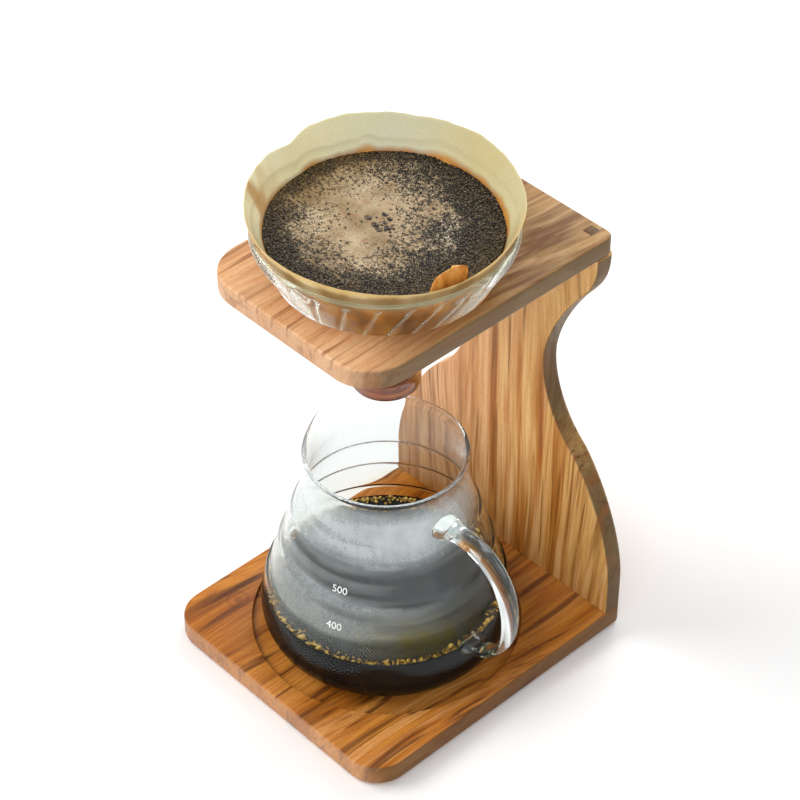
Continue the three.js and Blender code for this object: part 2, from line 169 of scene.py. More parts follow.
class Shade:
    """One material's node tree, built from short calls."""

    def __init__(self, name):
        self.material = bpy.data.materials.new(name)
        self.material.use_nodes = True
        self.tree = self.material.node_tree
        self.surface = self.tree.nodes["Principled BSDF"]
        coordinates = self.tree.nodes.new("ShaderNodeTexCoord")
        self.place = coordinates.outputs["Object"]
        self.facing = coordinates.outputs["Normal"]

    def feed(self, socket, value):
        if isinstance(value, bpy.types.NodeSocket):
            self.tree.links.new(value, socket)
        else:
            socket.default_value = value

    def surface_set(self, values):
        for name, value in values.items():
            self.feed(self.surface.inputs[name], value)

    def node(self, kind, inputs=None):
        """A new node of a kind, with its inputs set or linked."""
        node = self.tree.nodes.new("ShaderNode" + kind)
        for name, value in (inputs or {}).items():
            self.feed(node.inputs[name], value)
        return node

    def mapped(self, scale, offset=(0, 0, 0), turn=(0, 0, 0)):
        node = self.node("Mapping", {
            "Vector": self.place, "Scale": scale, "Location": offset, "Rotation": turn})
        return node.outputs["Vector"]

    def shifted(self, vector, amount, direction):
        """Moves a vector along a direction by a value that varies."""
        scaled = self.tree.nodes.new("ShaderNodeVectorMath")
        scaled.operation = "SCALE"
        scaled.inputs[0].default_value = direction
        self.feed(scaled.inputs["Scale"], amount)
        added = self.tree.nodes.new("ShaderNodeVectorMath")
        self.feed(added.inputs[0], vector)
        self.feed(added.inputs[1], scaled.outputs[0])
        return added.outputs[0]

    def noise(self, vector, scale, detail=2.0, roughness=0.5):
        node = self.node("TexNoise", {
            "Vector": vector, "Scale": scale, "Detail": detail, "Roughness": roughness})
        return node.outputs["Fac"]

    def even_noise(self, scale, detail=2.0, roughness=0.5):
        """Noise that is alike in every direction."""
        return self.noise(self.place, scale, detail, roughness)

    def ramp(self, value, stops):
        node = self.node("ValToRGB", {"Fac": value})
        elements = node.color_ramp.elements
        while len(elements) < len(stops):
            elements.new(0.5)
        for element, (position, colour) in zip(elements, stops):
            element.position = position
            element.color = colour
        return node.outputs["Color"]

    def math(self, operation, first, second=0.0):
        node = self.node("Math", {0: first, 1: second})
        node.operation = operation
        return node.outputs[0]

    def times(self, first, second):
        return self.math("MULTIPLY", first, second)

    def plus(self, first, second):
        return self.math("ADD", first, second)

    def minus(self, first, second):
        return self.math("SUBTRACT", first, second)

    def spread(self, value, low, high, to_low=0.0, to_high=1.0):
        """Takes low to high over to to_low to to_high, and holds what lies past them."""
        node = self.node("MapRange", {
            "Value": value, "From Min": low, "From Max": high, "To Min": to_low, "To Max": to_high})
        return node.outputs["Result"]

    def mix(self, factor, first, second, blend="MIX"):
        node = self.tree.nodes.new("ShaderNodeMix")
        node.data_type = "RGBA"
        node.blend_type = blend
        self.feed(node.inputs[0], factor)
        self.feed(node.inputs[6], first)
        self.feed(node.inputs[7], second)
        return node.outputs[2]

    def axis(self, letter, vector=None):
        return self.node("SeparateXYZ", {0: vector or self.place}).outputs[letter]

    def edge_on(self):
        """How nearly the surface is seen edge on, from 0 to 1."""
        return self.node("LayerWeight").outputs["Facing"]

    def from_axis(self, x_middle=0.0, y_middle=0.0):
        """Distance in the plan from a vertical line, in metres."""
        east = self.minus(self.axis("X"), x_middle)
        north = self.minus(self.axis("Y"), y_middle)
        squares = self.plus(self.times(east, east), self.times(north, north))
        return self.math("SQRT", squares)

    def bump(self, height, strength, distance):
        node = self.node("Bump", {"Height": height, "Strength": strength, "Distance": distance})
        self.feed(self.surface.inputs["Normal"], node.outputs["Normal"])

    def let_lamps_through(self):
        """Lets lamps light what stands behind the glass."""
        clear = self.node("BsdfTransparent")
        path = self.node("LightPath")
        plain = self.math("MAXIMUM", path.outputs["Is Shadow Ray"], path.outputs["Is Diffuse Ray"])
        choice = self.node("MixShader", {0: plain, 1: self.surface.outputs[0], 2: clear.outputs[0]})
        self.feed(self.tree.nodes["Material Output"].inputs["Surface"], choice.outputs[0])


def wood(name, grain, light, middle, dark, side, seed, line_share, blend=None):
    """Oiled olive wood with its grain along Y or Z, and side as the tone of its right hand faces, a
    painted shade. Boards with grain along Y get a paler painted lit tone on their front faces.
    blend(shade, colour, streaks) may tint a region."""
    shade = Shade(name)
    along_y = grain == "y"
    stretch = (1.0, 0.03, 0.4) if along_y else (1.0, 0.4, 0.03)
    waves = (1.0, 0.3, 1.0) if along_y else (1.0, 1.0, 0.3)
    short = (1.0, 0.12, 1.0) if along_y else (1.0, 1.0, 0.12)
    tilt = (0.0, 0.5, 0.0) if along_y else (0.0, 0.0, 0.35)
    drift = shade.noise(shade.mapped(waves, offset=(seed, seed, 0)), 13.0, 1.0)
    sway = shade.spread(drift, 0.3, 0.7, -0.013, 0.013)
    fibres = shade.shifted(shade.mapped(stretch, (seed, 0, seed), tilt), sway, (1, 0, 0))
    broad = shade.noise(fibres, 46.0, 2.0)
    lines = shade.noise(fibres, 150.0, 3.0, 0.6)
    thin = shade.noise(fibres, 330.0, 2.0)
    fine = shade.noise(fibres, 900.0, 2.0)
    pores = shade.noise(shade.mapped(short), 2600.0, 1.0)
    colour = shade.ramp(broad, [(0.40, light), (0.58, middle)])
    if blend:
        colour = blend(shade, colour, lines)
    flames = shade.spread(lines, 0.46, 0.34, 0.0, line_share)
    colour = shade.mix(flames, colour, dark)
    needles = shade.spread(thin, 0.40, 0.33, 0.0, line_share)
    colour = shade.mix(needles, colour, dark)
    colour = shade.mix(shade.spread(fine, 0.38, 0.62, 0.0, 0.42), colour, middle, "MULTIPLY")
    colour = shade.mix(shade.spread(thin, 0.55, 0.66, 0.0, 0.35), colour, light)
    colour = shade.mix(shade.spread(pores, 0.38, 0.3, 0.0, 0.35), colour, dark)
    # Front faces of boards with grain along Y are painted paler: a painted lit side.
    lit_front_face = shade.spread(shade.axis("Y", shade.facing), -0.5, -0.95, 0.0, 0.5 if along_y else 0.0)
    colour = shade.mix(lit_front_face, colour, paint(190, 148, 116))
    # Right hand faces are painted darker towards side: painted shade.
    shaded_right_face = shade.spread(shade.axis("X", shade.facing), 0.3, 0.9, 0.0, 0.85)
    colour = shade.mix(shaded_right_face, colour, shade.mix(flames, side, dark))
    shade.surface_set({
        "Base Color": colour,
        "Roughness": shade.spread(fine, 0.3, 0.7, 0.38, 0.54),
        "Specular IOR Level": 0.3,
    })
    shade.bump(shade.plus(fine, pores), 0.35, 0.00012)
    return shade.material


def base_blend(shade, colour, lines):
    """Golden strips at the right, a browner back right and a small knot at the front left."""
    right = shade.spread(shade.axis("X"), -0.01, 0.07)
    strips = shade.spread(lines, 0.5, 0.62, 0.0, 0.75)
    colour = shade.mix(shade.times(right, strips), colour, paint(226, 170, 104))
    knot = shade.from_axis(-0.056, -0.052)
    rings_per_metre = 1500.0
    rings = shade.spread(shade.math("SINE", shade.times(knot, rings_per_metre)), 0.0, 1.0, 0.1, 0.6)
    waver = shade.spread(lines, 0.3, 0.7, -0.003, 0.003)
    near = shade.spread(shade.plus(knot, waver), 0.009, 0.002)
    back = shade.spread(shade.plus(shade.axis("X"), shade.axis("Y")), 0.03, 0.09, 0.0, 0.6)
    colour = shade.mix(back, colour, paint(136, 80, 16))
    return shade.mix(shade.times(rings, near), colour, paint(110, 58, 26))


def upright_blend(shade, colour, lines):
    """Pinkish at the upper left, cream at the right, with orange streaks low down."""
    right = shade.spread(shade.axis("X"), -0.02, 0.04, 0.0, 0.8)
    colour = shade.mix(right, colour, paint(226, 184, 112))
    left = shade.spread(shade.axis("X"), -0.005, -0.04, 0.0, 0.6)
    colour = shade.mix(left, colour, paint(222, 170, 128))
    low = shade.spread(shade.axis("Z"), 0.18, 0.10)
    from_middle = shade.math("ABSOLUTE", shade.minus(shade.axis("X"), 0.014))
    middle = shade.spread(from_middle, 0.048, 0.014)
    stain = shade.times(shade.spread(lines, 0.58, 0.44), shade.times(low, middle))
    colour = shade.mix(stain, colour, paint(178, 104, 26))
    foot = shade.spread(shade.axis("Z"), 0.09, 0.02, 0.0, 0.6)
    return shade.mix(foot, colour, paint(154, 104, 36))


def top_blend(shade, colour, lines):
    """The pinkish front left turns to olive brown towards the back right."""
    diagonal = shade.plus(shade.axis("X"), shade.axis("Y"))
    edge = shade.plus(diagonal, shade.spread(lines, 0.3, 0.7, -0.02, 0.02))
    back = shade.spread(edge, -0.01, 0.05, 0.0, 0.95)
    brown = shade.ramp(lines, [(0.36, paint(104, 72, 30)), (0.60, paint(188, 150, 92))])
    return shade.mix(back, colour, brown)


def glass(name, tint, bend, mist_and_sheen=0.0, coat=0.0):
    """Clear glass with bend as its index. Its whitening, from 0 to 1, is real mist on the server and painted
    sheen and highlights on the dripper; coat is the share of its mirror film, from 0 to 1. Each is a number,
    or a function that works it out in the shade."""
    shade = Shade(name)
    ripple = shade.even_noise(55.0, 1.0)
    shade.surface_set({
        "Base Color": tint,
        "IOR": bend,
        "Coat Weight": coat(shade) if callable(coat) else coat,
        "Coat Roughness": 0.0,
        "Coat IOR": 1.5,
    })
    if callable(mist_and_sheen):
        whitening = mist_and_sheen(shade)
        shade.surface_set({
            "Roughness": shade.spread(whitening, 0.0, 0.5, 0.0, 0.3),
            "Transmission Weight": shade.spread(whitening, 0.0, 1.0, 1.0, 0.0),
        })
    else:
        shade.surface_set({
            "Roughness": 0.2 if mist_and_sheen else 0.0,
            "Transmission Weight": 1.0 - mist_and_sheen,
        })
    shade.bump(ripple, 0.08, 0.001)
    shade.let_lamps_through()
    return shade.material


def server_mist(shade):
    """Condensation on the inner face: thick above, in soft level bands below, and thinner at the back
    and the right. It yellows low down at the front right."""
    height = shade.axis("Z")
    across = shade.plus(shade.axis("X"), shade.axis("Y"))
    nearer = shade.minus(shade.axis("X"), shade.axis("Y"))
    low = shade.spread(height, 0.0375, 0.046)
    high = shade.spread(height, 0.118, 0.102)
    bands = shade.noise(shade.mapped((9, 9, 95)), 1.0, 2.0)
    runs = shade.noise(shade.mapped((1, 1, 0.5)), 240.0, 3.0)
    drops = shade.even_noise(1500.0, 2.0)
    front = shade.spread(nearer, -0.035, 0.005, 0.16, 1.0)
    left = shade.spread(across, 0.062, 0.022, 0.12, 1.0)
    above = shade.spread(height, 0.078, 0.099, 0.0, 0.42)
    veil = shade.plus(shade.spread(bands, 0.40, 0.58, 0.07, 0.31), above)
    dotted = shade.spread(drops, 0.3, 0.7, 0.78, 1.12)
    streaked = shade.spread(runs, 0.35, 0.65, -0.08, 0.12)
    spots = shade.plus(dotted, streaked)
    body = shade.times(shade.times(low, high), shade.times(front, left))
    middle = shade.spread(across, -0.03, 0.01, 0.2, 1.0)
    lowest = shade.spread(height, 0.064, 0.047)
    tinge = shade.times(lowest, shade.spread(runs, 0.3, 0.6, 0.5, 1.0))
    tinge = shade.times(tinge, middle)
    shade.surface_set({"Base Color": shade.mix(tinge, paint(230, 238, 240), paint(202, 182, 86))})
    return shade.times(shade.times(veil, spots), body)


def paper_material():
    """Unbleached filter paper: pale at the back, golden at the front, and soaked below the bed's edge."""
    shade = Shade("filter_paper")
    height = shade.axis("Z")
    nearer = shade.minus(shade.axis("X"), shade.axis("Y"))
    clouds = shade.even_noise(26.0, 3.0)
    flutes = shade.noise(shade.mapped((1, 1, 0.15)), 90.0, 2.0)
    fibre = shade.even_noise(1500.0, 3.0)
    # The dry paper is painted lighter towards the front left and darker towards the back right: painted light
    # and painted shade.
    across = shade.spread(shade.plus(shade.axis("X"), shade.axis("Y")), -0.07, 0.06)
    dry = shade.ramp(across, [
        (0.1, paint(255, 250, 212)), (0.5, paint(226, 228, 206)), (0.9, paint(210, 200, 156))])
    dry = shade.mix(shade.spread(clouds, 0.35, 0.65, 0.0, 0.5), dry, paint(246, 236, 202), "MULTIPLY")
    soaked = shade.ramp(flutes, [
        (0.32, paint(204, 144, 58)), (0.5, paint(176, 110, 28)), (0.70, paint(118, 70, 12))])
    golden = shade.ramp(flutes, [
        (0.36, paint(198, 154, 80)), (0.52, paint(168, 124, 54)), (0.66, paint(136, 96, 38))])

    # A faint level line where the paper leaves the glass.
    line_height = shade.plus(height, shade.spread(flutes, 0.3, 0.7, -0.0012, 0.0012))
    over = shade.spread(line_height, 0.2530, 0.2518)
    under = shade.spread(line_height, 0.2490, 0.2514, 0.0, 0.3)
    colour = shade.mix(shade.times(over, under), dry, paint(190, 176, 130))

    # The front half is damp, with a shadow under a paler rim. The rim leans down towards the front.
    leaning = shade.times(nearer, -0.045)
    rim = 0.2587
    below_rim = shade.plus(shade.times(leaning, -0.85), shade.minus(height, rim))
    edge = shade.spread(below_rim, -0.0042, -0.0016, 0.0, 0.75)
    shadow = shade.spread(below_rim, -0.0034, -0.0056, 0.0, 0.65)
    near = shade.spread(nearer, 0.0, 0.06)
    damp = shade.times(near, shade.spread(flutes, 0.3, 0.65, 0.45, 0.95))
    colour = shade.mix(damp, colour, golden)
    colour = shade.mix(shade.times(shadow, near), colour, paint(122, 88, 34))
    colour = shade.mix(shade.times(edge, near), colour, paint(222, 190, 122))

    left_stain = shade.spread(shade.from_axis(-0.046, -0.036), 0.02, 0.006, 0.0, 0.8)
    left_stain = shade.times(left_stain, shade.spread(flutes, 0.35, 0.6))
    colour = shade.mix(left_stain, colour, paint(196, 140, 62))
    stain = shade.spread(shade.minus(line_height, leaning), 0.2460, 0.2432)
    colour = shade.mix(stain, colour, soaked)
    colour = shade.mix(shade.spread(fibre, 0.3, 0.7, 0.0, 0.15), colour, paint(150, 130, 90), "MULTIPLY")
    shade.surface_set({
        "Base Color": colour,
        "Roughness": shade.spread(stain, 0.0, 1.0, 0.85, 0.45),
        "Subsurface Weight": shade.spread(stain, 0.0, 1.0, 0.25, 0.03),
        "Subsurface Radius": (0.004, 0.003, 0.0015),
    })
    shade.bump(shade.plus(fibre, flutes), 0.3, 0.0002)
    return shade.material


def tab_material():
    """The seam's loose end: thin orange brown paper with darker veins."""
    shade = Shade("soaked_paper_tab")
    veins = shade.noise(shade.mapped((1, 1, 0.4)), 240.0, 3.0)
    fibre = shade.even_noise(1500.0, 3.0)
    tone = shade.ramp(veins, [
        (0.34, paint(240, 184, 100)), (0.56, paint(222, 146, 56)), (0.72, paint(176, 104, 36))])
    shade.surface_set({
        "Base Color": tone,
        "Roughness": shade.spread(veins, 0.3, 0.7, 0.4, 0.6),
        "Subsurface Weight": 0.3,
        "Subsurface Radius": (0.004, 0.002, 0.001),
    })
    shade.bump(fibre, 0.25, 0.0002)
    return shade.material


def bed_material():
    """Pale brown foam, speckled more and more towards a ring of dark grounds that is widest at the
    front right."""
    shade = Shade("coffee_bed_surface")
    drift = shade.even_noise(70.0, 4.0, 0.6)
    reach = shade.from_axis(FOAM_X * MM, (AXIS_Y + FOAM_Y) * MM)
    radius = shade.plus(reach, shade.spread(drift, 0.3, 0.7, -0.008, 0.008))
    outward = shade.spread(radius, 0.006, 0.041)

    # Foam, with light veins, one pale patch and rusty flecks.
    foam = shade.ramp(shade.even_noise(62.0, 3.0), [
        (0.34, paint(186, 166, 134)), (0.52, paint(164, 142, 110)), (0.68, paint(138, 116, 84))])
    veins = shade.math("ABSOLUTE", shade.minus(shade.even_noise(120.0, 3.0), 0.5))
    foam = shade.mix(shade.spread(veins, 0.012, 0.0, 0.0, 0.4), foam, paint(214, 204, 180))
    pale = shade.spread(shade.from_axis(0.0196, (AXIS_Y + 19.2) * MM), 0.014, 0.003, 0.0, 0.5)
    foam = shade.mix(pale, foam, paint(206, 200, 186))
    rusty = shade.even_noise(260.0, 2.0)
    foam = shade.mix(shade.spread(rusty, 0.56, 0.70, 0.0, 0.5), foam, paint(150, 100, 54))
    far_right = shade.spread(shade.axis("X"), 0.028, 0.046)
    far_left = shade.spread(shade.axis("X"), -0.030, -0.048)
    sides = shade.plus(far_right, far_left)
    foam = shade.mix(shade.times(sides, 0.6), foam, paint(146, 112, 58))

    # Dark specks, thicker outwards and towards the back right, then a full ring of grounds.
    grains = shade.even_noise(1500.0, 2.0, 0.6)
    pits = shade.even_noise(700.0, 2.0, 0.6)
    mottle = shade.plus(shade.times(grains, 0.55), shade.times(pits, 0.45))
    speck = shade.plus(mottle, shade.spread(outward, 0.0, 1.0, -0.06, 0.09))
    dark = shade.ramp(shade.even_noise(1500.0, 2.0), [
        (0.45, paint(11, 10, 10)), (0.58, paint(36, 30, 24)), (0.68, paint(160, 142, 112))])
    diagonal = shade.plus(shade.axis("X"), shade.axis("Y"))
    right = shade.spread(diagonal, -0.02, 0.045, 0.0, 0.12)
    right = shade.times(right, shade.spread(drift, 0.3, 0.55, 0.3, 1.0))
    colour = shade.mix(shade.spread(shade.plus(speck, right), 0.53, 0.57), foam, dark)
    ring = shade.spread(radius, 0.0355, 0.0425, 0.0, 0.94)
    colour = shade.mix(ring, colour, dark)
    olive = shade.times(sides, shade.spread(grains, 0.48, 0.60, 0.0, 0.6))
    colour = shade.mix(olive, colour, paint(132, 100, 34))
    deep = shade.spread(shade.axis("Z"), 0.236, 0.240, 1.0, 0.0)
    colour = shade.mix(deep, colour, paint(52, 34, 22))
    shade.surface_set({
        "Base Color": colour,
        "Roughness": shade.spread(grains, 0.4, 0.6, 0.65, 0.45),
        "Specular IOR Level": 0.2,
    })
    shade.bump(grains, 0.45, 0.0004)
    return shade.material


def grains_material(name, first, second, scale, roughness):
    """Small loose things whose colour varies from one to the next."""
    shade = Shade(name)
    tone = shade.even_noise(scale, 2.0)
    shade.surface_set({
        "Base Color": shade.ramp(tone, [(0.38, first), (0.62, second)]),
        "Roughness": roughness,
        "Specular IOR Level": 0.3,
    })
    return shade.material


def coffee_material():
    """Brewed coffee: nearly black, with faint clouds; its cool blue black tone is a painted reflection."""
    shade = Shade("brewed_coffee_liquid")
    cloud = shade.even_noise(80.0, 2.0)
    shade.surface_set({
        # The blue black stop is a painted reflection; the warm stop is the coffee's own colour.
        "Base Color": shade.ramp(cloud, [(0.4, paint(12, 14, 15)), (0.7, paint(17, 16, 14))]),
        "Roughness": 0.1,
        "Specular IOR Level": 0.25,
    })
    return shade.material


def amber_material():
    """A film of coffee running down inside the cone's neck."""
    shade = Shade("amber_film")
    runs = shade.noise(shade.mapped((1, 1, 0.3)), 260.0, 2.0)
    shade.surface_set({
        "Base Color": shade.ramp(runs, [(0.35, paint(190, 78, 24)), (0.6, paint(84, 28, 10))]),
        "Roughness": 0.1,
    })
    return shade.material


def froth_material():
    """Yellow bubbles along the coffee's edge, some of them dark."""
    shade = Shade("froth_bubbles")
    tone = shade.even_noise(420.0, 2.0)
    shade.surface_set({
        "Base Color": shade.ramp(tone, [
            (0.40, paint(196, 164, 84)), (0.54, paint(120, 90, 34)), (0.66, paint(34, 24, 12))]),
        "Roughness": 0.15,
        "Specular IOR Level": 0.4,
    })
    return shade.material


# ---------------------------------------------------------------- boards

CORNER_STEPS = 16
OUTLINE_STEP = 4.0                # longest straight stretch between two points of a board's outline


def board_outline(half_width, front, back, front_corner, back_corner, inset):
    """Plan outline of a board, drawn in by inset, from the back right corner round to the right side."""
    corners = [
        (half_width - back_corner, back - back_corner, back_corner, 0.0),
        (-half_width + back_corner, back - back_corner, back_corner, 0.5),
        (-half_width + front_corner, front + front_corner, front_corner, 1.0),
        (half_width - front_corner, front + front_corner, front_corner, 1.5),
    ]
    points = []
    for x, y, radius, start in corners:
        short = max(radius - inset, 0.05)
        pull = max(inset - radius, 0.0)
        for step in range(CORNER_STEPS + 1):
            angle = math.pi * (start + step / (2 * CORNER_STEPS))
            points.append((x - math.copysign(pull, x) + short * math.cos(angle),
                           y - math.copysign(pull, y) + short * math.sin(angle)))
    return np.array(points)


def edge_round(radius, steps=5):
    """(inset, drop) pairs of a rounded edge, from the side face to the flat face."""
    turns = np.linspace(0, math.pi / 2, steps)
    return [(radius * (1 - math.cos(turn)), radius * (1 - math.sin(turn))) for turn in turns]


def board_rings(low, high, corners, lower_round, upper_round):
    """Rings from the underside's edge, up the side, to the top face's edge."""
    half_width = (high[0] - low[0]) / 2
    reference = board_outline(half_width, low[1], high[1], *corners, 0.0)
    spans = [max(1, int(round(np.linalg.norm(ahead - here) / OUTLINE_STEP)))
             for here, ahead in zip(reference, np.roll(reference, -1, axis=0))]

    def ring(inset, height):
        outline = board_outline(half_width, low[1], high[1], *corners, inset)
        points = []
        for here, ahead, steps in zip(outline, np.roll(outline, -1, axis=0), spans):
            for step in range(steps):
                points.append(here + (ahead - here) * step / steps)
        flat = np.array(points)
        return np.column_stack([flat, np.full(len(flat), height)])

    rings = [ring(inset, low[2] + drop) for inset, drop in reversed(edge_round(lower_round))]
    rings += [ring(inset, high[2] - drop) for inset, drop in edge_round(upper_round)]
    return rings


def ring_facing(outline_ring, radius, height):
    """A circle about the brewing axis whose points face an outline's points."""
    angles = np.arctan2(outline_ring[:, 1] - AXIS_Y, outline_ring[:, 0])
    return np.column_stack([radius * np.cos(angles), AXIS_Y + radius * np.sin(angles),
                            np.full(len(angles), height)])


def make_base():
    """The base board with the shallow round recess that the server stands in."""
    recess_radius = 64.8
    recess_floor = SERVER_LOW[2] - 0.3
    top = BASE_HIGH[2]
    rings = board_rings(BASE_LOW, BASE_HIGH, (17.0, 3.0), 2.6, 1.0)
    edge = rings[-1]
    for radius, height in ((recess_radius + 0.5, top), (recess_radius + 0.1, top - 0.15),
                           (recess_radius, top - 0.5), (recess_radius - 0.1, recess_floor + 0.6),
                           (recess_radius - 0.6, recess_floor + 0.1), (recess_radius - 1.2, recess_floor)):
        rings.append(ring_facing(edge, radius, height))
    # side is the painted shade tone of the right hand faces.
    material = wood("base_olive_wood", "y", light=paint(206, 136, 54), middle=paint(172, 102, 26),
                    dark=paint(88, 44, 6), side=paint(96, 62, 20), seed=1.7, line_share=0.75,
                    blend=base_blend)
    place(lofted("base_board_wood", rings, material), "stand", "base_wood", "base_board")


def make_top():
    """The top board, bored for the cone."""
    rings = board_rings(TOP_LOW, TOP_HIGH, (21.0, 5.0), 1.6, 1.4)
    hole = 48.1
    low, high = TOP_LOW[2], TOP_HIGH[2]
    edge = rings[-1]
    for radius, height in ((hole + 0.8, high), (hole + 0.2, high - 0.2), (hole, high - 0.8),
                           (hole, low + 0.6), (hole + 0.6, low)):
        rings.append(ring_facing(edge, radius, height))
    # side is the painted shade tone of the right hand faces.
    material = wood("top_olive_wood", "y", light=paint(234, 190, 144), middle=paint(216, 166, 118),
                    dark=paint(138, 86, 46), side=paint(100, 78, 50), seed=5.2, line_share=0.7,
                    blend=top_blend)
    place(lofted("top_board_wood", rings, material, loop=True), "stand", "top_wood", "top_board")


def cubic(start, first, second, end, steps):
    """Points along a cubic curve, without its start."""
    points = []
    for step in range(1, steps + 1):
        t = step / steps
        weights = ((1 - t) ** 3, 3 * t * (1 - t) ** 2, 3 * t * t * (1 - t), t ** 3)
        points.append(sum(w * np.array(p, float) for w, p in zip(weights, (start, first, second, end))))
    return points


def make_upright():
    """The waisted back board, lofted upwards from rounded level sections."""
    foot = UPRIGHT_HIGH[0]
    head = TOP_HIGH[0]
    waist = 24.3
    low, high = UPRIGHT_LOW[2], UPRIGHT_HIGH[2]
    curves = [
        ((foot, 56), (55.5, 88.4), (43.5, 99)),
        ((33, 108.2), (waist, 126), (waist, 142)),
        ((waist, 158), (35.9, 178.8), (43.5, 189)),
        ((50.4, 198), (head, 203), (head, high)),
    ]
    side = [np.array((foot, low)), np.array((foot, 30.0))]
    for first, second, end in curves:
        side += cubic(side[-1], first, second, end, 24)
    front, back = UPRIGHT_LOW[1], UPRIGHT_HIGH[1]
    rings = []
    for half_width, height in side:
        section = []
        for corner_x, corner_y, radius, start in ((1, back, 3.0, 0.0), (-1, back, 3.0, 0.5),
                                                  (-1, front, 1.0, 1.0), (1, front, 1.0, 1.5)):
            inward = -1 if corner_y == back else 1
            for step in range(7):
                angle = math.pi * (start + step / 12)
                section.append((corner_x * (half_width - radius) + radius * math.cos(angle),
                                corner_y + inward * radius + radius * math.sin(angle), height))
        rings.append(np.array(section))
    # side is the painted shade tone of the right hand faces.
    material = wood("upright_olive_wood", "z", light=paint(230, 186, 136), middle=paint(208, 158, 98),
                    dark=paint(128, 76, 22), side=paint(58, 40, 8), seed=9.4, line_share=0.72,
                    blend=upright_blend)
    place(lofted("upright_board_wood", rings, material), "stand", "upright_wood", "upright_board")


def make_keys():
    """The square ends of the two keys, standing a hair above the top board."""
    proud = 0.06
    # side is the painted shade tone of the right hand faces.
    material = wood("key_end_grain", "z", light=paint(120, 88, 54), middle=paint(96, 68, 40),
                    dark=paint(52, 34, 20), side=paint(60, 42, 24), seed=3.3, line_share=0.6)
    for name in ("top_key_left", "top_key_right"):
        low, high = box_mm(name)
        half_x = (high[0] - low[0]) / 2
        middle = (low + high) / 2
        rings = []
        for inset, height in ((0.0, low[2]), (0.0, high[2] + proud - 0.1), (0.15, high[2] + proud)):
            corners = ((half_x, 1), (-half_x, 1), (-half_x, -1), (half_x, -1))
            half_y = (high[1] - low[1]) / 2 - inset
            rings.append(np.array([
                (middle[0] + x - math.copysign(inset, x), middle[1] + side * half_y, height)
                for x, side in corners]))
        place(lofted(name + "_end", rings, material), "stand", "end_grain_wood", name)


def dress_dowels():
    """The dowels stay as the CAD has them, inside the boards."""
    material = wood("dowel_wood", "z", light=paint(214, 190, 150), middle=paint(196, 168, 124),
                    dark=paint(150, 120, 80), side=paint(196, 168, 124), seed=7.1, line_share=0.3)
    for name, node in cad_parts.items():
        if "dowel" in name:
            node.data.materials.clear()
            node.data.materials.append(material)


# ---------------------------------------------------------------- dripper and filter

CONE_SLOPE = math.tan(math.pi / 6)
CONE_AT_BOARD = 47.8              # the cone's outer radius level with the top board's upper face
CONE_WALL = 3.4
PAPER_GAP = 1.85


def cone_outer(height):
    return CONE_AT_BOARD + CONE_SLOPE * (height - BOARD_TOP_Z)


def cone_inner(height):
    return cone_outer(height) - CONE_WALL


def paper_outer(height):
    return cone_inner(height) - PAPER_GAP


